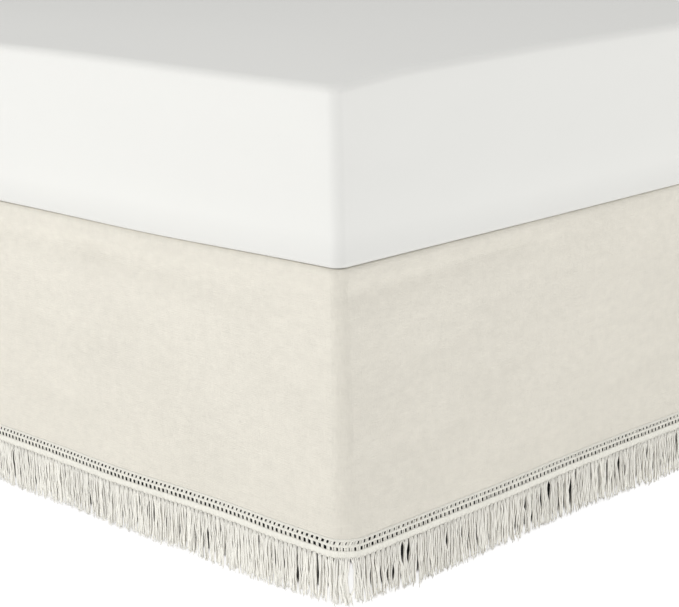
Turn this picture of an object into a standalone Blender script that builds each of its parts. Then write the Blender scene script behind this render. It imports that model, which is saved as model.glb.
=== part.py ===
"""Bed skirt on a queen bed, in metres, +Z up. X is the bed's width and Y its length: the foot is at -Y and
the open head end at +Y. The origin is on the floor, under the middle of the whole part.

The skirt's drop hangs round the left side, the foot and the right side. It turns over the foundation's rounded
edge onto its top, where it is sewn to the deck cloth. A trim of openwork heading and fringe is sewn outside
its hem."""

import math
import random

import bmesh
import bpy

# Bed sizes
BED_WIDTH = 1.524
BED_LENGTH = 2.032
SEAM_HEIGHT = 0.463
MATTRESS_EDGE_HEIGHT = 0.240
MATTRESS_CROWN = 0.012
MATTRESS_CORNER_RADIUS = 0.016
MATTRESS_TOP_RADIUS = 0.013
MATTRESS_BOTTOM_RADIUS = 0.007
MATTRESS_CROWN_RINGS = (
    # distance in from the last ring, share of the crown's height
    (0.12, 0.60),
    (0.20, 1.00),
)
LEG_HEIGHT = 0.200
LEG_TOP_RADIUS = 0.030
LEG_FOOT_RADIUS = 0.022
LEG_SIDES = 12
LEG_SIDE_INSET = 0.170
LEG_END_INSET = 0.300
FOUNDATION_EDGE_RADIUS = 0.014
FOUNDATION_CORNER_RADIUS = 0.022
EDGE_SEGMENTS = 3

# Cloth sizes
CLOTH = 0.0015
SEAT_GAP = 0.0003
EDGE_CLEARANCE = 0.0035
ROLL_RADIUS = 0.007
ROLL_STEPS = 4
TURN_IN = 0.019
TOP_CORNER_RADIUS = 0.018
HEM_CORNER_RADIUS = 0.030
LEAST_CORNER_RADIUS = 0.0015
HEM_HEIGHT = 0.100
HEM_STRAIGHT = 0.014
WALL_ROWS = 7
FLARE = 0.003
LEAST_STAND_OUT = -0.001
FOLD_FADE = 0.060

# Trim sizes
TRIM_TOP = 0.1045
TRIM_GAP = 0.0004
FRINGE_ROOT = 0.078
FRINGE_END = 0.010
BAND_THICKNESS = 0.0022
SIDE_PANELS = 21
FOOT_PANELS = 15
CORNER_PANELS = 3
LOCKS_PER_PANEL = 5
LOCK_GAP = 0.0030
LOCK_THICKNESS = 0.0046
LOCK_END_THICKNESS = 0.0036
LOCK_FULL_AT = 0.55
LOCK_OUT = (0.0002, 0.0012)
LOCK_END_OUT = (-0.0010, 0.0014)
LOCK_SPREAD = 0.0006
LOCK_LEAN = 0.0006
LOCK_UNEVEN = 0.006
LOCK_SLANT = 0.003
LOCK_SEED = 7

# Heading, from the top edge down: height of the row below the trim's top, and its thickness
HEADING_ROWS = (
    # below top, thickness
    (0.0000, 0.0022),
    (0.0032, 0.0022),
    (0.0040, 0.0011),
    (0.0071, 0.0011),
    (0.0079, 0.0022),
    (0.0111, 0.0022),
    (0.0119, 0.0011),
    (0.0157, 0.0011),
    (0.0165, 0.0022),
)

# Soft folds of the drop. Place and width run along the hem from the left side's head end
FOLDS = (
    # place, height, width, tall, lean, depth
    (0.22, 0.25, 0.10, 0.30, 0.20, 0.0045),
    (0.62, 0.16, 0.13, 0.22, -0.25, 0.0050),
    (1.05, 0.22, 0.09, 0.26, 0.30, 0.0040),
    (1.48, 0.15, 0.12, 0.20, -0.15, 0.0050),
    (1.86, 0.24, 0.10, 0.24, 0.10, 0.0040),
    (2.36, 0.17, 0.14, 0.22, 0.25, 0.0050),
    (2.77, 0.24, 0.10, 0.24, -0.30, 0.0035),
    (3.10, 0.14, 0.12, 0.20, 0.20, 0.0045),
    (3.40, 0.22, 0.07, 0.26, -0.10, 0.0035),
    (3.86, 0.15, 0.12, 0.22, 0.25, 0.0045),
    (4.28, 0.23, 0.10, 0.24, -0.20, 0.0040),
    (4.74, 0.16, 0.13, 0.22, 0.25, 0.0050),
    (5.18, 0.22, 0.10, 0.26, -0.25, 0.0045),
)
WAVE_LENGTH = 0.58
WAVE_DEPTH = 0.0020

# Places worked out from the sizes above
DEEPEST_FOLD = max(fold[-1] for fold in FOLDS)
FRINGE_PROUD = FLARE + WAVE_DEPTH + DEEPEST_FOLD + TRIM_GAP + LOCK_THICKNESS
Y_SHIFT = FRINGE_PROUD / 2
HALF_WIDTH = BED_WIDTH / 2
FOOT_Y = -BED_LENGTH / 2 + Y_SHIFT
HEAD_Y = BED_LENGTH / 2 + Y_SHIFT
MIDDLE_Y = (FOOT_Y + HEAD_Y) / 2
FLANGE_TOP = SEAM_HEIGHT
FOUNDATION_TOP = FLANGE_TOP - CLOTH - SEAT_GAP
FOUNDATION_INSET = CLOTH + EDGE_CLEARANCE
MATTRESS_BOTTOM = FLANGE_TOP + SEAT_GAP
WALL_TOP = FLANGE_TOP - ROLL_RADIUS
HEM_TOP = HEM_HEIGHT + HEM_STRAIGHT
SEAM_INSET = ROLL_RADIUS + TURN_IN
SIDE_RUN = BED_LENGTH - HEM_CORNER_RADIUS
FOOT_RUN = BED_WIDTH - 2 * HEM_CORNER_RADIUS
CORNER_RUN = math.pi / 2 * HEM_CORNER_RADIUS
MIDDLE_PLACE = SIDE_RUN + CORNER_RUN + FOOT_RUN / 2

NAME = "Bed skirt"


def clear_scene():
    for obj in list(bpy.data.objects):
        bpy.data.objects.remove(obj, do_unlink=True)


def make_collection():
    collection = bpy.data.collections.new(NAME)
    bpy.context.scene.collection.children.link(collection)
    return collection


def make_material(name, colour, roughness, metallic=0.0):
    material = bpy.data.materials.new(name)
    material.use_nodes = True
    shader = material.node_tree.nodes["Principled BSDF"]
    shader.inputs["Base Color"].default_value = (*colour, 1.0)
    shader.inputs["Roughness"].default_value = roughness
    shader.inputs["Metallic"].default_value = metallic
    material.diffuse_color = (*colour, 1.0)
    return material


def add_object(name, bm, material, smooth_angle=35.0):
    """Turns the bmesh into a named object in the part's collection, smooth but for its sharp edges."""
    mesh = bpy.data.meshes.new(name)
    bm.to_mesh(mesh)
    bm.free()
    mesh.materials.append(material)
    mesh.shade_smooth()
    mesh.set_sharp_from_angle(angle=math.radians(smooth_angle))
    obj = bpy.data.objects.new(name, mesh)
    bpy.data.collections[NAME].objects.link(obj)
    return obj


def add_solidify(obj, thickness, offset):
    modifier = obj.modifiers.new("Thickness", "SOLIDIFY")
    modifier.thickness = thickness
    modifier.offset = offset
    modifier.use_even_offset = True
    modifier.use_quality_normals = True
    return modifier


def box_mesh(low, high):
    bm = bmesh.new()
    bmesh.ops.create_cube(bm, size=1.0)
    for vert in bm.verts:
        for axis in range(3):
            vert.co[axis] = low[axis] if vert.co[axis] < 0 else high[axis]
    return bm


def weigh_edges(bm, low_z, high_z, bottom, corner, top):
    """Gives the box's bottom, upright and top edges their radii, as shares of the largest. It returns that."""
    widest = max(bottom, corner, top)
    weight = bm.edges.layers.float.new("bevel_weight_edge")
    for edge in bm.edges:
        heights = sorted(vert.co.z for vert in edge.verts)
        if heights == [low_z, high_z]:
            edge[weight] = corner / widest
        elif heights == [low_z, low_z]:
            edge[weight] = bottom / widest
        elif heights == [high_z, high_z]:
            edge[weight] = top / widest
    return widest


def add_bevel(obj, width):
    modifier = obj.modifiers.new("Rounded edges", "BEVEL")
    modifier.limit_method = "WEIGHT"
    modifier.width = width
    modifier.segments = EDGE_SEGMENTS


def make_mattress():
    """The mattress in its sheet: rounded edges, and a top that rises a little to its middle."""
    edge_top = MATTRESS_BOTTOM + MATTRESS_EDGE_HEIGHT
    bm = box_mesh((-HALF_WIDTH, FOOT_Y, MATTRESS_BOTTOM), (HALF_WIDTH, HEAD_Y, edge_top))
    low_z, high_z = (f(vert.co.z for vert in bm.verts) for f in (min, max))
    widest = weigh_edges(
        bm, low_z, high_z, MATTRESS_BOTTOM_RADIUS, MATTRESS_CORNER_RADIUS, MATTRESS_TOP_RADIUS
    )
    top = max(bm.faces, key=lambda face: face.calc_center_median().z)
    for inset, crown_share in MATTRESS_CROWN_RINGS:
        bmesh.ops.inset_region(bm, faces=[top], thickness=inset)
        for vert in top.verts:
            vert.co.z = edge_top + MATTRESS_CROWN * crown_share
    mattress = add_object("mattress", bm, make_material("White fitted sheet", (0.86, 0.86, 0.84), 0.85))
    add_bevel(mattress, widest)


def make_foundation():
    """The base under the deck, a little smaller than the mattress so that the drop clears its sides."""
    bm = box_mesh(
        (-HALF_WIDTH + FOUNDATION_INSET, FOOT_Y + FOUNDATION_INSET, LEG_HEIGHT),
        (HALF_WIDTH - FOUNDATION_INSET, HEAD_Y - FOUNDATION_INSET, FOUNDATION_TOP),
    )
    low_z, high_z = (f(vert.co.z for vert in bm.verts) for f in (min, max))
    widest = weigh_edges(bm, low_z, high_z, 0.0, FOUNDATION_CORNER_RADIUS, FOUNDATION_EDGE_RADIUS)
    foundation = add_object("foundation", bm, make_material("Grey ticking", (0.55, 0.54, 0.52), 0.9))
    add_bevel(foundation, widest)


def make_legs():
    material = make_material("Beech leg", (0.52, 0.36, 0.22), 0.5)
    reach_x = HALF_WIDTH - LEG_SIDE_INSET
    rows = (("foot", FOOT_Y + LEG_END_INSET), ("middle", MIDDLE_Y), ("head", HEAD_Y - LEG_END_INSET))
    height = LEG_HEIGHT - SEAT_GAP
    for side, x in (("left", -reach_x), ("right", reach_x)):
        for row, y in rows:
            bm = bmesh.new()
            bmesh.ops.create_cone(
                bm,
                cap_ends=True,
                segments=LEG_SIDES,
                radius1=LEG_FOOT_RADIUS,
                radius2=LEG_TOP_RADIUS,
                depth=height,
            )
            leg = add_object(f"leg_{side}_{row}", bm, material)
            leg.location = (x, y, height / 2)


def make_deck(cloth_material):
    """The flat cloth on the foundation. It ends where the drop's turned-in edge begins."""
    inset = SEAM_INSET + SEAT_GAP
    low_x, high_x = -HALF_WIDTH + inset, HALF_WIDTH - inset
    low_y, high_y = FOOT_Y + inset, HEAD_Y - FOUNDATION_INSET
    bm = bmesh.new()
    bmesh.ops.create_grid(bm, x_segments=1, y_segments=1, size=1.0)
    for vert in bm.verts:
        vert.co.x = low_x if vert.co.x < 0 else high_x
        vert.co.y = low_y if vert.co.y < 0 else high_y
        vert.co.z = FLANGE_TOP
    foot_corners = [vert for vert in bm.verts if vert.co.y < MIDDLE_Y]
    bmesh.ops.bevel(
        bm,
        geom=foot_corners,
        offset=LEAST_CORNER_RADIUS,
        segments=2,
        profile=0.5,
        affect="VERTICES",
    )
    deck = add_object("deck", bm, cloth_material)
    add_solidify(deck, CLOTH, -1.0)


class Station:
    """An upright line round the bed. On a straight it has a point, and at a corner only its turn."""

    def __init__(self, place, outward, point=None):
        self.place = place
        self.outward = outward
        self.point = point

    def at(self, out, height):
        """The plan position that stands out from the mattress's side by this much, at this height."""
        out_x, out_y = self.outward
        if self.point:
            return self.point[0] + out_x * out, self.point[1] + out_y * out
        radius = max(corner_radius(height) + out, LEAST_CORNER_RADIUS)
        centre = out - radius
        side = 1 if self.place > MIDDLE_PLACE else -1
        return side * (HALF_WIDTH + centre) + out_x * radius, FOOT_Y - centre + out_y * radius


def corner_radius(height):
    """The skirt turns its corners in a tight curve, and in a wider one near its hem."""
    down = (WALL_TOP - height) / (WALL_TOP - HEM_TOP)
    down = min(max(down, 0.0), 1.0)
    return TOP_CORNER_RADIUS + (HEM_CORNER_RADIUS - TOP_CORNER_RADIUS) * down**5


def panel_line():
    """Stations round the bed, from the left side's head end along the foot to the right side's head end."""
    stations = []
    for i in range(SIDE_PANELS):
        run = SIDE_RUN * i / SIDE_PANELS
        stations.append(Station(run, (-1.0, 0.0), (-HALF_WIDTH, HEAD_Y - run)))
    for i in range(CORNER_PANELS + 1):
        turn = math.pi / 2 * i / CORNER_PANELS
        place = SIDE_RUN + HEM_CORNER_RADIUS * turn
        stations.append(Station(place, (-math.cos(turn), -math.sin(turn))))
    for i in range(1, FOOT_PANELS):
        run = FOOT_RUN * i / FOOT_PANELS
        place = SIDE_RUN + CORNER_RUN + run
        stations.append(Station(place, (0.0, -1.0), (HEM_CORNER_RADIUS - HALF_WIDTH + run, FOOT_Y)))
    for i in range(CORNER_PANELS + 1):
        turn = math.pi / 2 * i / CORNER_PANELS
        place = SIDE_RUN + CORNER_RUN + FOOT_RUN + HEM_CORNER_RADIUS * turn
        stations.append(Station(place, (math.sin(turn), -math.cos(turn))))
    for i in range(1, SIDE_PANELS + 1):
        run = SIDE_RUN * i / SIDE_PANELS
        place = SIDE_RUN + 2 * CORNER_RUN + FOOT_RUN + run
        stations.append(Station(place, (1.0, 0.0), (HALF_WIDTH, FOOT_Y + HEM_CORNER_RADIUS + run)))
    return stations


def stand_out(place, height):
    """How far the drop's outer face stands out from the mattress's side, at a place and height."""
    height = min(max(height, HEM_TOP), WALL_TOP)
    down = (WALL_TOP - height) / (WALL_TOP - HEM_TOP)
    out = (FLARE + WAVE_DEPTH * math.sin(math.tau * place / WAVE_LENGTH)) * down**2
    for fold_place, fold_height, width, tall, lean, depth in FOLDS:
        across = (place - fold_place - lean * (height - fold_height)) / width
        along = (height - fold_height) / tall
        out += depth * math.exp(-across * across - along * along)
    fade = min(1.0, (WALL_TOP - height) / FOLD_FADE)
    return max(LEAST_STAND_OUT, out * fade)


def drop_profile():
    """Rows of the drop's outer face, from its hem up: (distance inward from the wall, height)."""
    rows = [(0.0, HEM_HEIGHT)]
    for i in range(WALL_ROWS + 1):
        rows.append((0.0, HEM_TOP + (WALL_TOP - HEM_TOP) * i / WALL_ROWS))
    for i in range(1, ROLL_STEPS + 1):
        turn = math.pi / 2 * i / ROLL_STEPS
        rows.append((ROLL_RADIUS * (1 - math.cos(turn)), WALL_TOP + ROLL_RADIUS * math.sin(turn)))
    rows.append((SEAM_INSET, FLANGE_TOP))
    return rows


def make_drop(cloth_material):
    """The hanging cloth: hem, soft folds, the roll over the foundation's edge and the turned-in top."""
    stations, rows = panel_line(), drop_profile()
    bm = bmesh.new()
    grid = bmesh.ops.create_grid(
        bm, x_segments=len(stations) - 1, y_segments=len(rows) - 1, size=0.5
    )["verts"]
    for vert in grid:
        station = stations[round((vert.co.x + 0.5) * (len(stations) - 1))]
        inward, height = rows[round((vert.co.y + 0.5) * (len(rows) - 1))]
        x, y = station.at(stand_out(station.place, height) - inward, height)
        vert.co = (x, y, height)
    drop = add_object("skirt_drop", bm, cloth_material)
    add_solidify(drop, CLOTH, -1.0)


class TrimBuilder:
    """Builds the trim's inner face as an open surface whose points carry the thickness there."""

    def __init__(self, stations):
        self.bm = bmesh.new()
        self.thickness = self.bm.verts.layers.float.new("thickness")
        self.stations = stations
        self.random = random.Random(LOCK_SEED)

    def point(self, panel, share, height, thickness, out=0.0):
        """A point of a panel, at a share of its width from its first station to its second."""
        (x0, y0), (x1, y1) = (
            station.at(stand_out(station.place, HEM_HEIGHT) + TRIM_GAP + out, HEM_HEIGHT)
            for station in self.stations[panel : panel + 2]
        )
        vert = self.bm.verts.new((x0 + (x1 - x0) * share, y0 + (y1 - y0) * share, height))
        vert[self.thickness] = thickness
        return vert

    def panel_width(self, panel):
        return self.stations[panel + 1].place - self.stations[panel].place

    def heading_column(self, station):
        """The points of the heading and band at one station, from the trim's top down to the fringe."""
        panel = min(station, len(self.stations) - 2)
        share = station - panel
        column = [self.point(panel, share, TRIM_TOP - below, thick) for below, thick in HEADING_ROWS]
        column.append(self.point(panel, share, FRINGE_ROOT, BAND_THICKNESS))
        return column

    def lock(self, panel, left, right, left_root, right_root):
        """One lock of the fringe: full at its middle, uneven at its end, leaning a little."""
        width = self.panel_width(panel)
        lean = self.random.uniform(-LOCK_LEAN, LOCK_LEAN) / width
        spread = self.random.uniform(0.0, LOCK_SPREAD) / width
        out = self.random.uniform(*LOCK_OUT)
        middle = FRINGE_ROOT - (FRINGE_ROOT - FRINGE_END) * LOCK_FULL_AT
        left_middle = self.point(panel, left - spread, middle, LOCK_THICKNESS, out)
        right_middle = self.point(panel, right + spread, middle, LOCK_THICKNESS, out)
        end = FRINGE_END + self.random.uniform(0.0, LOCK_UNEVEN)
        slant = self.random.uniform(-LOCK_SLANT, LOCK_SLANT)
        out_end = out + self.random.uniform(*LOCK_END_OUT)
        left_end = self.point(panel, left + lean, end + max(slant, 0.0), LOCK_END_THICKNESS, out_end)
        right_end = self.point(panel, right + lean, end + max(-slant, 0.0), LOCK_END_THICKNESS, out_end)
        self.bm.faces.new((left_middle, right_middle, right_root, left_root))
        self.bm.faces.new((left_end, right_end, right_middle, left_middle))

    def panel(self, panel, columns, locks):
        """The heading's strips over one panel, the band below them, and the panel's locks."""
        first, second = columns[panel], columns[panel + 1]
        for row in range(len(first) - 2):
            self.bm.faces.new((first[row], first[row + 1], second[row + 1], second[row]))
        margin = LOCK_GAP / 2 / self.panel_width(panel)
        roots = []
        for i in range(locks):
            left, right = i / locks + margin, (i + 1) / locks - margin
            left_root = self.point(panel, left, FRINGE_ROOT, BAND_THICKNESS)
            right_root = self.point(panel, right, FRINGE_ROOT, BAND_THICKNESS)
            self.lock(panel, left, right, left_root, right_root)
            roots += [left_root, right_root]
        self.bm.faces.new((first[-2], first[-1], *roots, second[-1], second[-2]))


def make_trim():
    """The heading's two rows of openwork are sunk channels between its cords; the locks hang from its band."""
    stations = panel_line()
    builder = TrimBuilder(stations)
    columns = [builder.heading_column(i) for i in range(len(stations))]
    for panel in range(len(stations) - 1):
        at_corner = builder.panel_width(panel) < HEM_CORNER_RADIUS
        builder.panel(panel, columns, 1 if at_corner else LOCKS_PER_PANEL)
    shares = [vert[builder.thickness] / LOCK_THICKNESS for vert in builder.bm.verts]
    trim = add_object("fringe_trim", builder.bm, make_material("Cream trim", (0.82, 0.80, 0.72), 0.8))
    group = trim.vertex_groups.new(name="thickness")
    for index, share in enumerate(shares):
        group.add([index], share, "REPLACE")
    modifier = add_solidify(trim, LOCK_THICKNESS, 1.0)
    modifier.vertex_group = group.name


def main():
    clear_scene()
    make_collection()
    ivory = make_material("Ivory slub weave", (0.79, 0.76, 0.68), 0.9)
    make_mattress()
    make_foundation()
    make_legs()
    make_deck(ivory)
    make_drop(ivory)
    make_trim()


main()
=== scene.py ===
"""Looks of the bed skirt: a fringed, openwork-trimmed drop of ivory cloth round a bed with its mattress.

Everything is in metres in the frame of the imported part: X across the bed, Y along it with the foot at -Y,
and Z up from the floor. The cloth, trim and yarns are built in hem coordinates: a place along the hem, a
distance that they stand out from the mattress's side, and a height. bed_point turns these into X, Y and Z."""

import math

import bpy
import numpy as np
from mathutils import Matrix, Vector

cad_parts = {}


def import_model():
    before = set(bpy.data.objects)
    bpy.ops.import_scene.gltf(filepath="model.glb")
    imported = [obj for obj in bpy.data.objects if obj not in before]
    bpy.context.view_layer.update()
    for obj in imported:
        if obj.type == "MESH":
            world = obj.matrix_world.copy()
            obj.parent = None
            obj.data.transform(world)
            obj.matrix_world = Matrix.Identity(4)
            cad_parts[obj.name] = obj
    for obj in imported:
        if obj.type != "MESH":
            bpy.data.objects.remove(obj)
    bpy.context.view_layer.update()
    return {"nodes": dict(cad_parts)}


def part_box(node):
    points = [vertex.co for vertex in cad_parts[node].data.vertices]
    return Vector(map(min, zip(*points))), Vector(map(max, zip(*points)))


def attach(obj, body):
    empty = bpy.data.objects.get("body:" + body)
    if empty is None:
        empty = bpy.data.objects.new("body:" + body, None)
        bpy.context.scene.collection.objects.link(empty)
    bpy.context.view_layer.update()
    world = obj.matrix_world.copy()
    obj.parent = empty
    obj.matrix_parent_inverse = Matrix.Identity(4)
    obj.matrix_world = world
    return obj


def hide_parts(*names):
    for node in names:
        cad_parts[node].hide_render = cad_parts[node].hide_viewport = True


# The bed, as in the part's source
BED_WIDTH = 1.524
BED_LENGTH = 2.032
SEAM_HEIGHT = 0.463
MATTRESS_CROWN = 0.012
MATTRESS_CORNER_RADIUS = 0.016
MATTRESS_TOP_RADIUS = 0.013
MATTRESS_BOTTOM_RADIUS = 0.007
LEG_TOP_RADIUS = 0.030
LEG_FOOT_RADIUS = 0.022
LEG_COLLAR = 0.012
FOUNDATION_CORNER_RADIUS = 0.022
FOUNDATION_EDGE_RADIUS = 0.014
FOUNDATION_WELT = (
    # inset, height above the underside, radius share
    (0.10, 0.0, 2.0),
    (0.008, 0.0, 1.0),
    (0.002, 0.002, 1.0),
    (0.0, 0.006, 1.0),
    (0.001, 0.011, 1.0),
    (0.0022, 0.013, 1.0),
    (0.0008, 0.018, 1.0),
)

# The drop, as in the part's source
CLOTH = 0.0015
ROLL_RADIUS = 0.007
TURN_IN = 0.019
TOP_CORNER_RADIUS = 0.018
HEM_CORNER_RADIUS = 0.030
LEAST_CORNER_RADIUS = 0.0015
HEM_HEIGHT = 0.100
HEM_STRAIGHT = 0.014
FLARE = 0.003
LEAST_STAND_OUT = -0.001
FOLD_FADE = 0.060
FOLDS = (
    # place, height, width, tall, lean, depth
    (0.22, 0.25, 0.10, 0.30, 0.20, 0.0045),
    (0.62, 0.16, 0.13, 0.22, -0.25, 0.0050),
    (1.05, 0.22, 0.09, 0.26, 0.30, 0.0040),
    (1.48, 0.15, 0.12, 0.20, -0.15, 0.0050),
    (1.86, 0.24, 0.10, 0.24, 0.10, 0.0040),
    (2.36, 0.17, 0.14, 0.22, 0.25, 0.0050),
    (2.77, 0.24, 0.10, 0.24, -0.30, 0.0035),
    (3.10, 0.14, 0.12, 0.20, 0.20, 0.0045),
    (3.40, 0.22, 0.07, 0.26, -0.10, 0.0035),
    (3.86, 0.15, 0.12, 0.22, 0.25, 0.0045),
    (4.28, 0.23, 0.10, 0.24, -0.20, 0.0040),
    (4.74, 0.16, 0.13, 0.22, 0.25, 0.0050),
    (5.18, 0.22, 0.10, 0.26, -0.25, 0.0045),
)
WAVE_LENGTH = 0.58
WAVE_DEPTH = 0.0020

# The trim, as in the part's source
TRIM_TOP = 0.1045
TRIM_GAP = 0.0004
FRINGE_ROOT = 0.078
LOCK_THICKNESS = 0.0046

# Places worked out from the sizes above, as in the part's source
DEEPEST_FOLD = max(fold[-1] for fold in FOLDS)
Y_SHIFT = (FLARE + WAVE_DEPTH + DEEPEST_FOLD + TRIM_GAP + LOCK_THICKNESS) / 2
HALF_WIDTH = BED_WIDTH / 2
FOOT_Y = -BED_LENGTH / 2 + Y_SHIFT
HEAD_Y = BED_LENGTH / 2 + Y_SHIFT
WALL_TOP = SEAM_HEIGHT - ROLL_RADIUS
HEM_TOP = HEM_HEIGHT + HEM_STRAIGHT
SIDE_RUN = BED_LENGTH - HEM_CORNER_RADIUS
FOOT_RUN = BED_WIDTH - 2 * HEM_CORNER_RADIUS
CORNER_RUN = math.pi / 2 * HEM_CORNER_RADIUS
HEM_RUN = 2 * SIDE_RUN + 2 * CORNER_RUN + FOOT_RUN
MIDDLE_PLACE = HEM_RUN / 2
CORNER_EASE = 0.0953
CORNER_MIDDLES = (SIDE_RUN + CORNER_RUN / 2, HEM_RUN - SIDE_RUN - CORNER_RUN / 2)
# Where the photo's corner would lie if the foot, or the right side, ran straight on to it
FOOT_SIDE = SIDE_RUN + CORNER_RUN + FOOT_RUN + HEM_CORNER_RADIUS
RIGHT_SIDE = HEM_RUN - SIDE_RUN - HEM_CORNER_RADIUS

# Creases of the drop. Those near the photo's corner are placed by their distance from it, negative along
# the foot and positive along the right side, and the others by their place. A positive depth stands out
CORNER_CREASES = (
    # from distance, height, to distance, height, half width at the first end and at the last, depth
    (-1.30, 0.440, -0.04, 0.441, 0.011, 0.011, 0.0016),
    (0.03, 0.444, 1.60, 0.446, 0.008, 0.010, 0.0010),
    (-1.15, 0.425, -0.48, 0.420, 0.010, 0.012, -0.0030),
    (-0.52, 0.420, -0.20, 0.403, 0.012, 0.016, -0.0030),
    (-0.90, 0.395, -0.25, 0.375, 0.020, 0.026, 0.0022),
    (-0.95, 0.318, -0.45, 0.290, 0.016, 0.022, -0.0016),
    (-0.90, 0.262, -0.50, 0.232, 0.018, 0.022, 0.0018),
    (-0.95, 0.215, -0.55, 0.180, 0.014, 0.020, -0.0016),
    (0.02, 0.426, 0.36, 0.438, 0.016, 0.008, -0.0036),
    (0.10, 0.385, 0.50, 0.412, 0.016, 0.014, 0.0014),
    (0.15, 0.322, 0.26, 0.336, 0.014, 0.010, -0.0016),
    (0.32, 0.272, 0.43, 0.288, 0.014, 0.011, -0.0016),
    (0.58, 0.190, 0.68, 0.206, 0.014, 0.012, -0.0020),
    (0.54, 0.118, 0.65, 0.122, 0.016, 0.014, -0.0018),
    (0.08, 0.205, 0.20, 0.212, 0.020, 0.024, -0.0016),
    (0.27, 0.138, 0.37, 0.150, 0.018, 0.018, -0.0014),
    (0.85, 0.432, 1.30, 0.440, 0.014, 0.009, -0.0020),
    (1.05, 0.250, 1.25, 0.275, 0.018, 0.016, -0.0018),
    (1.50, 0.180, 1.72, 0.160, 0.018, 0.020, -0.0018),
)
OTHER_CREASES = (
    # the same, with places
    (0.30, 0.438, 0.85, 0.428, 0.009, 0.014, -0.0020),
    (0.55, 0.300, 0.80, 0.270, 0.018, 0.016, -0.0018),
    (1.20, 0.220, 1.42, 0.245, 0.020, 0.016, -0.0018),
    (1.62, 0.442, 1.96, 0.420, 0.008, 0.018, -0.0024),
    (2.10, 0.418, 2.38, 0.438, 0.016, 0.008, -0.0020),
)

# How many of its widths a crease reaches past its ends, and where all of them fade out
CREASE_END = 2.5
CREASE_FROM_TRIM = 0.004
CREASE_TRIM_EASE = 0.03
CREASE_PAST_WALL = 0.006
CREASE_ROLL_EASE = 0.012

# The mattress's sides stand out between its corners, most near the middle of its foot
BULGE_FOOT = 0.0050
BULGE_SIDE = 0.0060
BULGE_EASE = 0.30
BULGE_FROM = 0.30
BULGE_LOST_AT_TOP = 0.55
BULGE_POWER = 7
SAG_BULGE = 0.0045
SAG_PLACE = 0.42
SAG_WIDTH = 0.24
# Its lower edge hangs below the seam's height, and the cloth with it
FOOT_SAG = 0.0042
FOOT_SAG_PLACE = 0.37
FOOT_SAG_WIDTH = 0.22
SIDE_SAG = 0.0018
SIDE_SAG_EASE = 0.50
SAG_INSET = 0.012
SAG_REACH = 0.050
# Its top edge dips towards the corners and rises along the sides, less and less over the top
FOOT_DIP = 0.0085
FOOT_DIP_EASE = 0.62
SIDE_DIP_EASE = 0.10
SIDE_RISE = 0.0045
SIDE_RISE_EASE = 0.50
FOOT_DIP_REACH = 0.15
SIDE_DIP_REACH = 0.25

# The openwork heading. Heights are below the trim's top
REPEATS = 640
PITCH = HEM_RUN / REPEATS
HEADING_OUT = 0.0011
CORDS = (
    # middle below the top, half height, stand-out, half thickness, bump, lean towards the cloth at its top
    (0.0018, 0.0018, 0.0003, 0.0005, 0.15, 0.0010),
    (0.0096, 0.0020, 0.0010, 0.0006, 0.10, 0.0),
)
BAR_ROWS = (
    # top below, bottom below, shift in repeats, slant, half width, half thickness, lean as for a cord
    (0.0028, 0.0088, 0.0, -0.0018, 0.00175, 0.0004, 0.0005),
    (0.0104, 0.0176, 0.5, 0.0002, 0.00150, 0.0004, 0.0),
)
BAR_SPLAY = 0.0017
BAR_WAIST = 0.66
THREAD_STEP = 0.0002
THREAD_JITTER = 0.00025
BUNCHING = 0.28
BUNCH_REACH = 0.024
SWELL_SPREAD = 0.06
BAND_TOP = 0.0168
BAND_BOTTOM = 0.0268
BAND_THICKNESS = 0.0022
RIB_DEPTH = 0.00022
RIBS = 3.0

# The fringe. Each repeat of the trim holds one bundle of yarns
BUNDLE_WIDTH = 0.0060
LAYERS = (
    # yarns in a bundle, stand-out at the root and below it, half width and thickness, sides, steps, frays
    (3, 0.0023, 0.0019, 0.00136, 0.00085, 5, 12, 2),
    (3, 0.0004, 0.0005, 0.00150, 0.00070, 4, 8, 1),
)
ROOT_LAP = 0.0012
# Spreads of the random draws for each bundle, and for each yarn
BUNDLE_DRAWS = {"sway": 0.0012, "wave": 0.0007, "spread": 0.08, "lift": 0.0005, "end": 0.0010, "tone": 0.20}
YARN_SWAY = 0.0007
YARN_ENDS = 0.0019
YARN_LIFT = 0.0004
YARN_STAND = 0.0003
YARN_TONE = 0.42
YARN_WAVE_LENGTHS = (0.016, 0.036)
YARN_WAVE = 0.00045
# The few yarns that cross their neighbours
CROSSING_SHARE = 0.08
CROSSING_SWAY = 0.0045
CROSSING_LIFT = 0.0009
# The fibres that splay from a yarn's end: three rings each
FRAY_SHARES = (0.0, 0.55, 1.0)
FRAY_SIZES = (0.00062, 0.00048, 0.00016)
FRAY_REACH = (0.003, 0.0066)
FRAY_LEAN = 0.0014
FRAY_AWAY = 0.0007
FRAY_LAP = 0.0022
YARN_END = 0.0130
YARN_LEAST_END = 0.0040
# The height of the fringe's uneven lower edge beside the photo's corner
END_HEIGHTS = (
    # distance from the corner, height
    (-0.75, 0.0122), (-0.62, 0.0118),
    (-0.555, 0.0150), (-0.495, 0.0128),
    (-0.435, 0.0140), (-0.375, 0.0115),
    (-0.315, 0.0132), (-0.25, 0.0100),
    (-0.20, 0.0092), (-0.15, 0.0122),
    (-0.10, 0.0126), (-0.04, 0.0165),
    (0.03, 0.0175), (0.08, 0.0165),
    (0.14, 0.0115), (0.24, 0.0128),
    (0.35, 0.0154), (0.47, 0.0150),
    (0.54, 0.0142), (0.60, 0.0116),
    (0.68, 0.0092), (0.78, 0.0122),
)
FRINGE_SEED = 11
CLEFT_FOOT = 0.0011
CLEFT_SIDE = 0.0020
CLEFT_LEAST = 0.0003
CLEFT_MOST = 0.0046
CLEFT_GAMMA = 1.2
CLEFT_STEP_GAMMA = (2.5, 0.0058)
CLEFT_LEAST_STEP = 0.004
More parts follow.
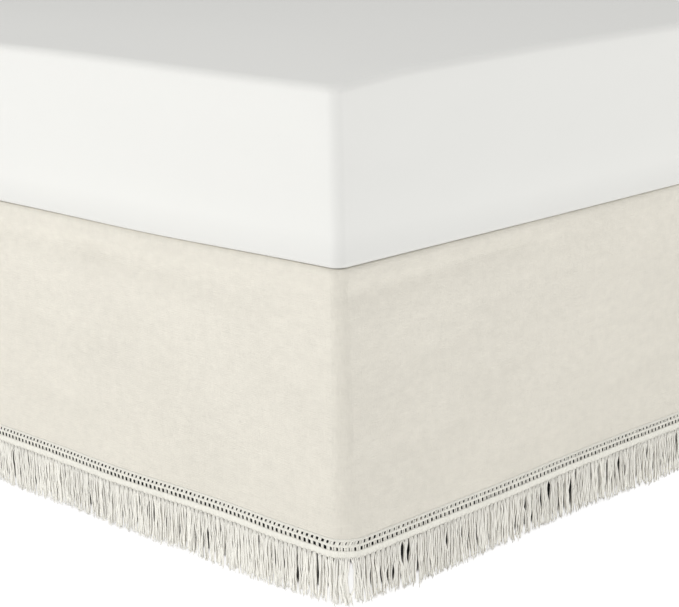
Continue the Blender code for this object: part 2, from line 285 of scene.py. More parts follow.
CLEFT_RANGES = (
    # reach, middle, span
    (0.003, 0.008),
    (0.15, 0.8),
    (0.12, 0.35),
)
# See-through gaps beside the photo's corner, with their reach, middle and span, and longer stray yarns
CORNER_GAPS = (
    # distance from the corner, half width
    (0.0118, 0.0050),
    (-0.045, 0.0030),
    (0.040, 0.0024),
)
GAP_SHAPE = (0.008, 0.6, 0.4)
GAP_CLEAR = 0.010
STRAYS = (
    # distance from the corner, height of its end, sway
    (-0.262, 0.0030, 0.003),
    (0.133, 0.0015, -0.003),
    (0.78, 0.0060, 0.004),
    (-0.62, 0.0070, -0.002),
)

# Colours, as linear shares of light
IVORY = (0.740, 0.707, 0.625)
HEADING = (0.830, 0.812, 0.735)
YARN = (0.940, 0.922, 0.850)
# Painted shade on the sides and backs of the fringe's yarns
YARN_PAINTED_SHADE = (0.620, 0.570, 0.480)
SHEET = (0.762, 0.760, 0.732)
TICKING = (0.55, 0.54, 0.52)
BEECH = (0.52, 0.36, 0.22)

# The camera, fitted to the photo's seam, hem and mattress lines
CAMERA_PLACE = (2.346, -2.5885, 0.992)
CAMERA_LENS = 98.0
CAMERA_TURN = 45.079
CAMERA_DOWN = 14.296
CAMERA_ROLL = -1.397

# Light
WORLD_LIGHT = 0.58
FLOOR_GLOW = 0.45
FLOOR_NEAR_GLOW = 0.35
FLOOR_NEAR_REACH = 0.07
FLOOR_WHITE = 0.90
# Painted shade: the floor's colour under the bed, as a share of its white
FLOOR_SHADE = 0.10
FLOOR_REACH = 30.0
# Where the floor's shade begins inside the hem's line, and the light stretch seen through the corner's gap
SHADE_INSET = 0.028
SHADE_EASE = 0.022
SHADE_CORNER_INSET = 0.045
SHADE_CORNER_REACH = 0.06
SHADE_CORNER_EASE = 0.08
SEEN_HALF_WIDTH = 0.014
SEEN_LENGTH = 0.17
SEEN_LENGTH_EASE = 0.04
AREA_LIGHTS = (
    # name, place, size, watts
    ("key_light", (-0.7, -4.75, 3.3), 2.2, 84.0),
    ("right_light", (4.2, 1.4, 3.2), 2.0, 49.0),
)
LIGHT_AIM = (0.3, -0.6, 0.35)


def ease(x):
    """A smooth step: 0 up to 0, 1 from 1 on, and a soft slope between."""
    x = np.clip(x, 0.0, 1.0)
    return x * x * (3.0 - 2.0 * x)


def wander(places, length, seed):
    """Smooth random values from -1 to 1 along the hem, which change over this length."""
    knots = np.random.default_rng(seed).uniform(-1.0, 1.0, int(HEM_RUN / length) + 4)
    steps = np.clip(np.asarray(places, float), 0.0, HEM_RUN) / length
    first = steps.astype(int)
    share = ease(steps - first)
    return knots[first] * (1.0 - share) + knots[first + 1] * share


# Hem coordinates


def from_corner(distance):
    """The place this far from the photo's corner: along the foot if negative, else along the right side."""
    return (FOOT_SIDE if distance < 0.0 else RIGHT_SIDE) + distance


def seam_sag(from_corner_x, from_corner_y):
    """How far the mattress's edge and the cloth under it hang below the seam's height."""
    inset = np.minimum(from_corner_x, from_corner_y)
    on_foot = FOOT_SAG * np.exp(-(((from_corner_x - FOOT_SAG_PLACE) / FOOT_SAG_WIDTH) ** 2))
    on_side = SIDE_SAG * ease(from_corner_y / SIDE_SAG_EASE)
    sag = np.where(from_corner_y < from_corner_x, on_foot, on_side)
    return sag * (1.0 - ease(inset / SAG_INSET))


def bunch(place):
    """Moves evenly spaced repeats of the trim closer together round the foot's corners."""
    for corner in CORNER_MIDDLES:
        off = (place - corner) / BUNCH_REACH
        place = place - BUNCHING * BUNCH_REACH * off * np.exp(-off * off / 2.0)
    return place


def corner_radius(height):
    """The skirt turns its corners in a tight curve, and in a wider one near its hem."""
    down = np.clip((WALL_TOP - height) / (WALL_TOP - HEM_TOP), 0.0, 1.0)
    return TOP_CORNER_RADIUS + (HEM_CORNER_RADIUS - TOP_CORNER_RADIUS) * down**5


def bed_point(place, out, height):
    """X, Y and Z of a point that stands out from the mattress's side by this much."""
    place, out, height = np.broadcast_arrays(
        np.asarray(place, float), np.asarray(out, float), np.asarray(height, float)
    )
    side = np.where(place > MIDDLE_PLACE, 1.0, -1.0)
    along = np.abs(place - MIDDLE_PLACE)
    radius = np.maximum(corner_radius(height) + out, LEAST_CORNER_RADIUS)
    centre = out - radius
    # The straights reach further where the corner is tighter. Their last stretch takes that up
    slack = HEM_CORNER_RADIUS + centre
    foot = FOOT_RUN / 2
    on_foot = along <= foot
    on_side = along >= foot + CORNER_RUN
    turn = np.clip((along - foot) / CORNER_RUN, 0.0, 1.0) * math.pi / 2
    x = HALF_WIDTH + centre + radius * np.sin(turn)
    y = FOOT_Y - centre - radius * np.cos(turn)
    foot_x = along + slack * np.clip(1.0 + (along - foot) / CORNER_EASE, 0.0, 1.0)
    past = np.maximum(along - foot - CORNER_RUN, 0.0)
    side_y = FOOT_Y + HEM_CORNER_RADIUS + past - slack * np.clip(1.0 - past / CORNER_EASE, 0.0, 1.0)
    x = side * np.where(on_foot, foot_x, np.where(on_side, HALF_WIDTH + out, x))
    y = np.where(on_foot, FOOT_Y - out, np.where(on_side, side_y, y))
    return np.stack([x, y, height], axis=-1)


def stand_out(place, height):
    """How far the drop's outer face stands out from the mattress's side: the part's own folds."""
    height = np.clip(height, HEM_TOP, WALL_TOP)
    down = (WALL_TOP - height) / (WALL_TOP - HEM_TOP)
    out = (FLARE + WAVE_DEPTH * np.sin(math.tau * place / WAVE_LENGTH)) * down**2
    for fold_place, fold_height, width, tall, lean, depth in FOLDS:
        across = (place - fold_place - lean * (height - fold_height)) / width
        along = (height - fold_height) / tall
        out = out + depth * np.exp(-across * across - along * along)
    fade = np.minimum(1.0, (WALL_TOP - height) / FOLD_FADE)
    return np.maximum(LEAST_STAND_OUT, out * fade)


def crease(place, height):
    """The finer troughs and ridges, each round the line between two points. They end above the trim."""
    out = np.zeros(np.broadcast(place, height).shape)
    near = [(from_corner(start), low, from_corner(end), *rest) for start, low, end, *rest in CORNER_CREASES]
    for place_0, height_0, place_1, height_1, width_0, width_1, depth in (*near, *OTHER_CREASES):
        run, rise = place_1 - place_0, height_1 - height_0
        share = ((place - place_0) * run + (height - height_0) * rise) / (run * run + rise * rise)
        inside = np.clip(share, 0.0, 1.0)
        width = width_0 + (width_1 - width_0) * inside
        off_line = (height - height_0 - rise * inside) / width
        past_end = (share - inside) * math.hypot(run, rise) / (CREASE_END * width)
        out = out + depth * np.exp(-off_line * off_line - past_end * past_end)
    above_trim = ease((height - TRIM_TOP - CREASE_FROM_TRIM) / CREASE_TRIM_EASE)
    below_roll = ease((WALL_TOP + CREASE_PAST_WALL - height) / CREASE_ROLL_EASE)
    return out * above_trim * below_roll


# Meshes


def add_object(name, data):
    obj = bpy.data.objects.new(name, data)
    bpy.context.scene.collection.objects.link(obj)
    return obj


def add_mesh(name, material, points, faces, uvs=None, tone=None):
    """A smooth mesh object. uvs has a row for each corner of a face, and tone a value for each point."""
    mesh = bpy.data.meshes.new(name)
    mesh.from_pydata(np.asarray(points).reshape(-1, 3), [], faces)
    if uvs is not None:
        mesh.uv_layers.new(name="cloth").data.foreach_set("uv", np.asarray(uvs, np.float32).ravel())
    if tone is not None:
        attribute = mesh.attributes.new("tone", "FLOAT", "POINT")
        attribute.data.foreach_set("value", np.asarray(tone, np.float32).ravel())
    mesh.materials.append(material)
    mesh.shade_smooth()
    mesh.update()
    return add_object(name, mesh)


def grid_faces(rows, columns, closed=False):
    """Quads of a grid of points. A closed one joins its last column to its first."""
    row = np.arange(rows - 1)[:, None]
    column = np.arange(columns if closed else columns - 1)[None, :]
    following = (column + 1) % columns
    near, far = row * columns, (row + 1) * columns
    corners = (near + column, near + following, far + following, far + column)
    return np.stack(corners, axis=-1).reshape(-1, 4)


def add_rings(name, points, columns, material):
    """A closed mesh object of stacked rings of points, from its underside to its top."""
    rows = len(points) // columns
    faces = grid_faces(rows, columns, closed=True).tolist()
    faces.append(list(range(columns))[::-1])
    faces.append(list(range((rows - 1) * columns, rows * columns)))
    return add_mesh(name, material, points, faces)


def add_thickness(obj, thickness):
    """Gives a sheet its thickness, inward from the face that was built."""
    modifier = obj.modifiers.new("Thickness", "SOLIDIFY")
    modifier.thickness = thickness
    modifier.offset = -1.0


def tubes(places, outs, heights, wide, thick, tone, sides):
    """Tubes in hem coordinates. Each array has a row a tube and a column a ring, and tone a value a tube.

    Returns their points, their faces, their corners' UVs, round the tube and along it in metres, and their
    points' tones."""
    count, rings = heights.shape
    turn = math.tau * np.arange(sides) / sides
    place = places[..., None] + wide[..., None] * np.cos(turn)
    out = outs[..., None] + thick[..., None] * np.sin(turn)
    points = bed_point(place, out, np.broadcast_to(heights[..., None], place.shape)).reshape(-1, 3)
    side = grid_faces(rings, sides, closed=True)
    starts = np.arange(count)[:, None, None] * rings * sides
    faces = (side[None] + starts).reshape(-1, 4)
    steps = np.hypot(np.diff(heights, axis=1), np.diff(places, axis=1))
    length = np.concatenate([np.zeros((count, 1)), np.cumsum(steps, axis=1)], axis=1)
    near, far = length[:, :-1, None], length[:, 1:, None]
    left = np.broadcast_to(np.arange(sides) / sides, (count, rings - 1, sides))
    right = left + 1.0 / sides
    near, far = np.broadcast_to(near, left.shape), np.broadcast_to(far, left.shape)
    uvs = np.stack([left, near, right, near, right, far, left, far], axis=-1).reshape(-1, 2)
    return points, faces, uvs, np.repeat(tone, rings * sides)


def join(pieces):
    """Joins (points, faces, uvs, tones) pieces into one."""
    points, faces, uvs, tones = zip(*pieces)
    starts = np.cumsum([0, *map(len, points)])
    faces = [piece + start for piece, start in zip(faces, starts)]
    return [np.concatenate(arrays) for arrays in (points, faces, uvs, tones)]


# Materials


class Shader:
    """Builds one Principled material. Names of sockets are Blender's."""

    def __init__(self, name, colour, roughness, **values):
        self.material = bpy.data.materials.new(name)
        self.material.use_nodes = True
        self.tree = self.material.node_tree
        self.main = self.tree.nodes["Principled BSDF"]
        self.main.inputs["Base Color"].default_value = (*colour, 1.0)
        self.main.inputs["Roughness"].default_value = roughness
        for socket, value in values.items():
            self.main.inputs[socket.replace("_", " ")].default_value = value
        self.material.diffuse_color = (*colour, 1.0)

    def node(self, kind, inputs=(), **settings):
        node = self.tree.nodes.new(kind)
        for setting, value in settings.items():
            setattr(node, setting, value)
        for socket, value in dict(inputs).items():
            if isinstance(value, bpy.types.NodeSocket):
                self.tree.links.new(value, node.inputs[socket])
            else:
                node.inputs[socket].default_value = value
        return node

    def coordinates(self, kind, scale):
        """Texture coordinates of one kind (Object or UV), stretched by a scale for each axis."""
        source = self.node("ShaderNodeTexCoord").outputs[kind]
        mapping = self.node("ShaderNodeMapping", {"Vector": source, "Scale": scale})
        return mapping.outputs["Vector"]

    def axis(self, kind, axis, scale=(1.0, 1.0, 1.0)):
        """One axis of texture coordinates."""
        return self.node("ShaderNodeSeparateXYZ", {"Vector": self.coordinates(kind, scale)}).outputs[axis]

    def noise(self, kind, scale, detail=2.0, roughness=0.5):
        vector = self.coordinates(kind, scale)
        inputs = {"Vector": vector, "Scale": 1.0, "Detail": detail, "Roughness": roughness}
        return self.node("ShaderNodeTexNoise", inputs).outputs["Fac"]

    def wave(self, kind, scale, distortion):
        """Bands that run diagonally."""
        inputs = {"Vector": self.coordinates(kind, scale), "Scale": 1.0, "Distortion": distortion}
        return self.node("ShaderNodeTexWave", inputs, bands_direction="DIAGONAL").outputs["Fac"]

    def math(self, operation, first, second):
        return self.node("ShaderNodeMath", {0: first, 1: second}, operation=operation).outputs[0]

    def range(self, value, low, high, to_low, to_high):
        inputs = {"Value": value, "From Min": low, "From Max": high, "To Min": to_low, "To Max": to_high}
        return self.node("ShaderNodeMapRange", inputs).outputs["Result"]

    def tint(self, colour, value, *more):
        """Sets the base colour to this one times values that vary round 1."""
        for other in more:
            value = self.math("MULTIPLY", value, other)
        scaled = self.node("ShaderNodeVectorMath", {0: colour, "Scale": value}, operation="SCALE")
        self.tree.links.new(scaled.outputs[0], self.main.inputs["Base Color"])

    def bump(self, height, distance, strength=1.0):
        inputs = {"Height": height, "Distance": distance, "Strength": strength}
        normal = self.node("ShaderNodeBump", inputs).outputs["Normal"]
        self.tree.links.new(normal, self.main.inputs["Normal"])


def cloth_material():
    """Ivory slub weave: threads both ways of uneven thickness, and mottling. It is painted a little darker
    towards its hem, as painted shade. UVs are in metres."""
    shader = Shader("ivory_slub_weave", IVORY, 0.92, Sheen_Weight=0.12, Sheen_Roughness=0.6)
    weft = shader.noise("UV", (38.0, 1300.0, 1.0), detail=3.0)
    warp = shader.noise("UV", (1300.0, 38.0, 1.0), detail=3.0)
    threads = shader.math("ADD", weft, warp)
    mottle = shader.noise("UV", (55.0, 70.0, 1.0), detail=4.0, roughness=0.65)
    cloud = shader.noise("UV", (6.0, 9.0, 1.0), detail=2.0)
    shader.tint(
        IVORY,
        shader.range(threads, 0.6, 1.4, 0.965, 1.03),
        shader.range(mottle, 0.3, 0.7, 0.955, 1.03),
        shader.range(cloud, 0.3, 0.7, 0.975, 1.015),
        # Painted shade: the cloth's colour darkens towards its hem
        shader.range(shader.axis("UV", "Y"), 0.0, 0.36, 0.982, 1.022),
    )
    shader.bump(shader.math("ADD", threads, mottle), 0.0006)
    return shader.material


def sheet_material():
    """Smooth white percale: a very fine weave, a faint unevenness, and painted shade that darkens it near the
    seam.
    """
    shader = Shader("white_percale", SHEET, 0.80, Sheen_Weight=0.10, Sheen_Roughness=0.5)
    fine = shader.noise("Object", (1500.0, 1500.0, 1500.0), detail=2.0)
    soft = shader.noise("Object", (7.0, 5.0, 9.0), detail=1.0)
    # Painted shade: the sheet's colour darkens over the last few centimetres above the seam
    painted_seam_shade = shader.range(shader.axis("Object", "Z"), SEAM_HEIGHT, SEAM_HEIGHT + 0.045, 0.925, 1.0)
    shader.tint(SHEET, painted_seam_shade, shader.range(fine, 0.3, 0.7, 0.988, 1.01))
    shader.bump(shader.math("ADD", shader.math("MULTIPLY", fine, 0.02), soft), 0.004)
    return shader.material


def yarn_material(name, colour, painted_side_shade=False):
    """Spun cotton yarn: its plies wind round it, each yarn has its own tone, and its sides can carry painted
    shade.
    """
    shader = Shader(name, colour, 0.90, Sheen_Weight=0.25, Sheen_Roughness=0.5)
    plies = shader.wave("UV", (1.0, 280.0, 1.0), 0.6)
    fibres = shader.noise("Object", (1400.0, 1400.0, 260.0), detail=3.0)
    own_tone = shader.node("ShaderNodeAttribute", attribute_name="tone").outputs["Fac"]
    tone = shader.range(own_tone, -1.0, 1.0, 0.87, 1.06)
    if painted_side_shade:
        # Painted shade: the sides and back of each yarn are painted a darker, warmer colour
        round_yarn = shader.axis("UV", "X", (math.tau, 1.0, 1.0))
        front = shader.range(shader.math("SINE", round_yarn, 0.0), -0.5, 0.25, 0.0, 1.0)
        # Sockets 6 and 7 of a mix of colours are its two colours
        colours = {0: front, 6: (*YARN_PAINTED_SHADE, 1.0), 7: (*colour, 1.0)}
        colour = shader.node("ShaderNodeMix", colours, data_type="RGBA").outputs[2]
    shader.tint(colour, tone, shader.range(fibres, 0.3, 0.7, 0.95, 1.03))
    shader.bump(shader.math("ADD", shader.math("MULTIPLY", plies, 0.7), fibres), 0.0005)
    return shader.material


def ticking_material():
    """Grey ticking of the base: a plain weave with narrow darker stripes."""
    shader = Shader("grey_ticking", TICKING, 0.90)
    weave = shader.noise("Object", (900.0, 900.0, 900.0), detail=2.0)
    stripe = shader.wave("Object", (14.0, 14.0, 0.0), 0.0)
    tone = shader.range(stripe, 0.90, 0.96, 1.02, 0.86)
    shader.tint(TICKING, tone, shader.range(weave, 0.3, 0.7, 0.94, 1.05))
    shader.bump(weave, 0.0004)
    return shader.material


def wood_material():
    """Oiled beech: short flecks and long soft grain along the leg."""
    shader = Shader("oiled_beech", BEECH, 0.42, Coat_Weight=0.15, Coat_Roughness=0.3)
    grain = shader.noise("Object", (90.0, 90.0, 7.0), detail=5.0, roughness=0.6)
    flecks = shader.noise("Object", (500.0, 500.0, 60.0), detail=2.0)
    tone = shader.range(grain, 0.3, 0.7, 0.78, 1.12)
    shader.tint(BEECH, tone, shader.range(flecks, 0.55, 0.75, 1.0, 0.8))
    shader.bump(grain, 0.0004)
    return shader.material


# Pieces


def drop_columns():
    """Places of the drop's columns: every 9 mm or so, and closer round the corners."""
    foot_start = SIDE_RUN + CORNER_RUN
    foot_end = foot_start + FOOT_RUN
    ends = (0.0, SIDE_RUN, foot_start, foot_end, foot_end + CORNER_RUN, HEM_RUN)
    stretches = [np.linspace(*stretch) for stretch in zip(ends, ends[1:], (222, 15, 164, 15, 222))]
    return np.unique(np.round(np.concatenate(stretches), 6))


def drop_rows():
    """Rows of the drop from its hem up: distance inward from the wall, and height."""
    rows = [(0.0, height) for height in np.linspace(HEM_HEIGHT, HEM_TOP, 4)[:-1]]
    rows += [(0.0, height) for height in np.linspace(HEM_TOP, WALL_TOP, 44)]
    for turn in np.linspace(0.0, math.pi / 2, 9)[1:]:
        rows.append((ROLL_RADIUS * (1 - math.cos(turn)), WALL_TOP + ROLL_RADIUS * math.sin(turn)))
    rows.append((ROLL_RADIUS + TURN_IN, SEAM_HEIGHT))
    return np.array(rows)


def make_drop(material):
    columns, rows = drop_columns(), drop_rows()
    place = np.broadcast_to(columns, (len(rows), len(columns)))
    inward, height = (np.broadcast_to(rows[:, i, None], place.shape) for i in (0, 1))
    out = stand_out(place, height) + crease(place, height)
    points = bed_point(place, out - inward, height)
    x, y, z = points[..., 0], points[..., 1], points[..., 2]
    sag = seam_sag(np.maximum(HALF_WIDTH - np.abs(x), 0.0), np.maximum(y - FOOT_Y, 0.0))
    points[..., 2] = z - sag * ease((height - SEAM_HEIGHT + SAG_REACH) / SAG_REACH)
    # Up the cloth, the roll and the turned-in edge count by their own length
    steps = np.hypot(np.diff(rows[:, 0]), np.diff(rows[:, 1]))
    up = np.concatenate([[0.0], np.cumsum(steps)])
    plan = np.stack([place, np.broadcast_to(up[:, None], place.shape)], axis=-1).reshape(-1, 2)
    faces = grid_faces(len(rows), len(columns))
    drop = add_mesh("drop_cloth", material, points, faces, uvs=plan[faces.ravel()])
    add_thickness(drop, CLOTH)
    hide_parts("skirt_drop")
    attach(drop, "root")


def make_deck(material):
    """The flat cloth under the mattress."""
    low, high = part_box("deck")
    x, y = np.linspace(low[0], high[0], 61), np.linspace(low[1], high[1], 81)
    points = np.stack([*np.meshgrid(x, y), np.full((len(y), len(x)), high[2])], axis=-1)
    faces = grid_faces(len(y), len(x))
    deck = add_mesh("deck_cloth", material, points, faces, uvs=points.reshape(-1, 3)[faces.ravel(), :2])
    add_thickness(deck, CLOTH)
    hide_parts("deck")
    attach(deck, "root")


def trim_out(place):
    """The stand-out of the trim's inner face, which lies on the hem."""
    return stand_out(place, HEM_HEIGHT) + TRIM_GAP


def heading_cord(middle, half_height, out, half_thickness, bump, lean, steps=4, sides=6):
    """One cord along the heading, thicker where the bars are tied in."""
    place = np.linspace(0.0, HEM_RUN, REPEATS * steps + 1)
    swell = 1.0 + bump * np.cos(math.tau * place / PITCH) + 0.08 * wander(place, PITCH / 2, 3)
    out = trim_out(place) + out
    turn = math.tau * np.arange(sides) / sides
    height = TRIM_TOP - middle + half_height * swell[:, None] * np.cos(turn)
    stand = out[:, None] + half_thickness * swell[:, None] * np.sin(turn) - lean * np.cos(turn)
    points = bed_point(place[:, None], stand, height).reshape(-1, 3)
    faces = grid_faces(len(place), sides, closed=True)[:, ::-1]
    round_and_along = np.stack(
        np.broadcast_arrays(np.arange(sides)[None, :] / sides, place[:, None]), axis=-1
    ).reshape(-1, 2)
    return points, faces, round_and_along[faces.ravel()], 0.3 * wander(np.repeat(place, sides), 0.004, 5)


def heading_bars(top, bottom, shift, slant, half_width, half_thickness, lean, seed):
    """One row of slanted bars, each of two threads that draw together half way."""
    rng = np.random.default_rng(seed)
    middle = (np.arange(REPEATS) + 0.5 + shift) * PITCH
    middle = bunch(middle[middle < HEM_RUN - PITCH / 2])
    share = np.linspace(0.0, 1.0, 4)
    pieces = []
    for thread in (-1.0, 1.0):
        jitter = rng.normal(0.0, THREAD_JITTER, (len(middle), 1))
        splay = BAR_SPLAY * (BAR_WAIST + (1.0 - BAR_WAIST) * np.abs(2.0 * share - 1.0))
        place = middle[:, None] + thread * splay + slant * (share - 0.5) + jitter
        height = np.broadcast_to(TRIM_TOP - top - (bottom - top) * share, place.shape)
        out = trim_out(place) + HEADING_OUT + thread * THREAD_STEP - lean * (1.0 - share)
        swell = 1.0 + rng.normal(0.0, SWELL_SPREAD, place.shape)
        tone = rng.uniform(-0.6, 0.8, len(middle))
        pieces.append(tubes(place, out, height, half_width * swell, half_thickness * swell, tone, 5))
    return pieces


def make_heading(material):
    pieces = [heading_cord(*cord) for cord in CORDS]
    for seed, row in enumerate(BAR_ROWS):
        pieces += heading_bars(*row, seed=seed)
    heading = add_mesh("heading", material, *join(pieces))
    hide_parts("fringe_trim")
    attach(heading, "root")


def make_band(material):
    """The plain woven band between openwork and fringe, ribbed across, with a corded upper edge."""
    steps = 6
    place = np.linspace(0.0, HEM_RUN, REPEATS * steps + 1)
    profile = (
        # below the trim's top, proud of the band's middle
        (BAND_TOP - 0.0006, -0.0010),
        (BAND_TOP, 0.0),
        (BAND_TOP + 0.0012, 0.0003),
        (BAND_TOP + 0.0022, 0.0),
        (BAND_BOTTOM - 0.0028, 0.0),
        (BAND_BOTTOM - 0.0012, 0.0),
        (BAND_BOTTOM, -0.0006),
    )
    below, proud = np.array(profile).T[:, :, None]
    rib = RIB_DEPTH * np.cos(math.tau * place * RIBS / PITCH) + 0.0002 * wander(place, 0.006, 8)
    edge = 0.0004 * wander(place, 0.01, 9)
    out = trim_out(place) + BAND_THICKNESS + proud + rib * (below > BAND_TOP + 0.001)
    height = TRIM_TOP - below + edge
    points = bed_point(np.broadcast_to(place, out.shape), out, height)
    faces = grid_faces(len(profile), len(place))[:, ::-1]
    uvs = np.stack(np.broadcast_arrays(below * 40.0, place), axis=-1).reshape(-1, 2)[faces.ravel()]
    tone = np.broadcast_to(0.45 + 0.25 * wander(place, 0.003, 10), out.shape)
    band = add_mesh("band", material, points, faces, uvs, tone)
    add_thickness(band, BAND_THICKNESS * 0.8)
    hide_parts("fringe_trim")
    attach(band, "root")


def find_clefts(rng):
    """The partings of the fringe: place, opening, reach, and where down the yarns they are widest, with how
    much of the length they span."""
    clefts, place = [], 0.02
    while place < HEM_RUN:
        on_foot = SIDE_RUN < place < HEM_RUN - SIDE_RUN
        scale = CLEFT_FOOT if on_foot else CLEFT_SIDE
        opening = min(CLEFT_LEAST + scale * rng.gamma(CLEFT_GAMMA), CLEFT_MOST)
        clefts.append((place, opening, *(rng.uniform(*ends) for ends in CLEFT_RANGES)))
        place += rng.gamma(*CLEFT_STEP_GAMMA) + CLEFT_LEAST_STEP
    for distance, half_width in CORNER_GAPS:
        place = from_corner(distance)
        clefts = [cleft for cleft in clefts if abs(cleft[0] - place) > GAP_CLEAR]
        clefts.append((place, half_width, *GAP_SHAPE))
    return clefts


def parting(root, share, clefts):
    """How far the clefts push yarns sideways, for each root and each share of the length."""
    push = np.zeros((len(root), len(share)))
    for place, opening, reach, middle, span in clefts:
        off = root - place
        near = np.abs(off) < 5.0 * reach
        sideways = np.where(off[near] < 0, -1.0, 1.0) * opening * np.exp(-np.abs(off[near]) / reach)
        shape = np.exp(-(((share - middle) / span) ** 2)) * ease(share / 0.08) * (1.0 - 0.5 * share**4)
        push[near] += sideways[:, None] * shape[None, :]
    return push


def make_bundles(rng):
    """What the yarns of one bundle share: root, sway of its end, spread, lift, end and tone."""
    root = bunch((np.arange(REPEATS) + 0.5) * PITCH)
    sway = 0.0030 * wander(root, 0.09, 23) + 0.0020 * wander(root, 0.026, 24)
    known_places, known_ends = np.array([(from_corner(place), end) for place, end in END_HEIGHTS]).T
    end = np.interp(root, known_places, known_ends)
    unknown = (root < known_places[0]) | (root > known_places[-1])
    end = np.where(unknown, YARN_END + 0.0022 * wander(root, 0.05, 21), end)

    def draw(name):
        return rng.normal(0.0, BUNDLE_DRAWS[name], REPEATS)

    return {
        "root": root,
        "sway": sway + draw("sway"),
        "wave": draw("wave"),
        "phase": rng.uniform(0.0, math.tau, REPEATS),
        "spread": 1.0 + draw("spread"),
        "narrow": rng.uniform(0.92, 1.12, REPEATS),
        "lift": draw("lift"),
        "end": end + draw("end"),
        "tone": draw("tone") + 0.2 * wander(root, 0.04, 26),
    }


def fringe_layer(rng, bundles, clefts, count, root_out, out, half_width, half_thickness, sides, steps, frays):
    """One layer of yarns, as paths in hem coordinates, in order along the hem."""
    own = {name: np.repeat(values, count)[:, None] for name, values in bundles.items()}
    strand = np.tile((np.arange(count) - (count - 1) / 2) * BUNDLE_WIDTH / count, REPEATS)[:, None]
    total = len(strand)
    share = np.linspace(0.0, 1.0, steps + 1)[None, :] ** 0.9
    root = own["root"] + strand

    def draw(width):
        return rng.normal(0.0, width, (total, 1))

    # A bundle leaves the band drawn together, opens at once to meet its neighbours, and closes to its end
    full = PITCH / BUNDLE_WIDTH * own["spread"]
    opened = 1.0 + (full - 1.0) * ease((share - 0.03) / 0.08)
    width = opened * (1.0 + (own["narrow"] - 1.0) * ease((share - 0.3) / 0.7))
    crossing = rng.random((total, 1)) < CROSSING_SHARE
    sway = own["sway"] + draw(YARN_SWAY) + crossing * draw(CROSSING_SWAY)
    end = np.maximum(own["end"] + draw(YARN_ENDS), YARN_LEAST_END)
    top = FRINGE_ROOT + ROOT_LAP
    height = top + (end - top) * share
    phase = rng.uniform(0.0, math.tau, (2, total, 1))
    length = rng.uniform(*YARN_WAVE_LENGTHS, (total, 1))
    wave = np.sin(math.tau * (top - height) / length + phase[0])
    bow = np.sin(math.tau * (top - height) / (1.6 * length) + phase[1])
    loose = ease((share - 0.05) / 0.2)
    place = own["root"] + strand * width + sway * share**1.6 + YARN_WAVE * wave * loose
    place = place + own["wave"] * np.sin(math.tau * 0.8 * share + own["phase"]) * loose
    place = place + parting(root[:, 0], share[0], clefts)
    lift = own["lift"] + draw(YARN_LIFT) + CROSSING_LIFT * crossing
    stand = trim_out(root) + root_out + (out - root_out) * ease((share - 0.02) / 0.12)
    stand = stand + (lift + draw(YARN_STAND) + YARN_WAVE * bow) * loose
    swell = 1.0 + rng.normal(0.0, SWELL_SPREAD, (total, steps + 1))
    swell = swell * np.interp(share, (0.0, 0.04, 0.12, 0.9, 1.0), (0.55, 0.95, 1.0, 1.0, 0.55))
    tone = np.clip(own["tone"] + draw(YARN_TONE), -1.0, 1.0)[:, 0]
    return root[:, 0], place, stand, height, half_width * swell, half_thickness * swell, tone, sides, frays


def frayed_ends(rng, place, stand, height, tone, frays):
    """Thin fibres that splay from the end of each yarn."""
    pieces = []
    for _ in range(frays):
        count = len(place)
        share = np.array(FRAY_SHARES)
        reach = rng.uniform(*FRAY_REACH, (count, 1))
        lean = rng.normal(0.0, FRAY_LEAN, (count, 1))
        away = rng.normal(0.0, FRAY_AWAY, (count, 1))
        low = height[:, -1:] + FRAY_LAP - reach * share
        sideways = place[:, -1:] + rng.normal(0.0, 0.0005, (count, 1)) + lean * share**1.5
        size = np.broadcast_to(FRAY_SIZES, low.shape)
        out = stand[:, -1:] + away * share
        pieces.append(tubes(sideways, out, low, size, size, tone, 3))
    return pieces


def make_fringe(material):
    """Two layers of yarns that hang from the band, in one piece for each side of the bed."""
    rng = np.random.default_rng(FRINGE_SEED)
    clefts, bundles = find_clefts(rng), make_bundles(rng)
    layers = [fringe_layer(rng, bundles, clefts, *layer) for layer in LAYERS]
    ends = (-1.0, *CORNER_MIDDLES, HEM_RUN + 1.0)
    for name, start, stop in zip(("fringe_left", "fringe_foot", "fringe_right"), ends, ends[1:]):
        pieces = []
        for root, *path, sides, frays in layers:
            chosen = (root >= start) & (root < stop)
            place, stand, height, wide, thick, tone = (values[chosen] for values in path)
            pieces.append(tubes(place, stand, height, wide, thick, tone, sides))
            pieces += frayed_ends(rng, place, stand, height, tone, frays)
        pieces += stray_yarns(start, stop)
        fringe = add_mesh(name, material, *join(pieces))
        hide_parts("fringe_trim")
        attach(fringe, "root")


def stray_yarns(start, stop):
    """The few yarns that hang below the rest."""
    strays = [(from_corner(distance), end, sway) for distance, end, sway in STRAYS]
    strays = [stray for stray in strays if start <= stray[0] < stop]
    if not strays:
        return []
    root, end, sway = (np.array(values)[:, None] for values in zip(*strays))
    share = np.linspace(0.0, 1.0, 13)
    height = FRINGE_ROOT + (end - FRINGE_ROOT) * share
    place = root + sway * share**2 + 0.0012 * np.sin(9.0 * share)
    _, _, out, half_width, *_ = LAYERS[0]
    stand = np.broadcast_to(trim_out(root) + out + 0.0012, place.shape)
    size = np.broadcast_to(half_width * np.interp(share, (0.0, 0.8, 1.0), (1.0, 0.8, 0.45)), place.shape)
    return [tubes(place, stand, height, size, size, np.full(len(strays), -0.4), 5)]


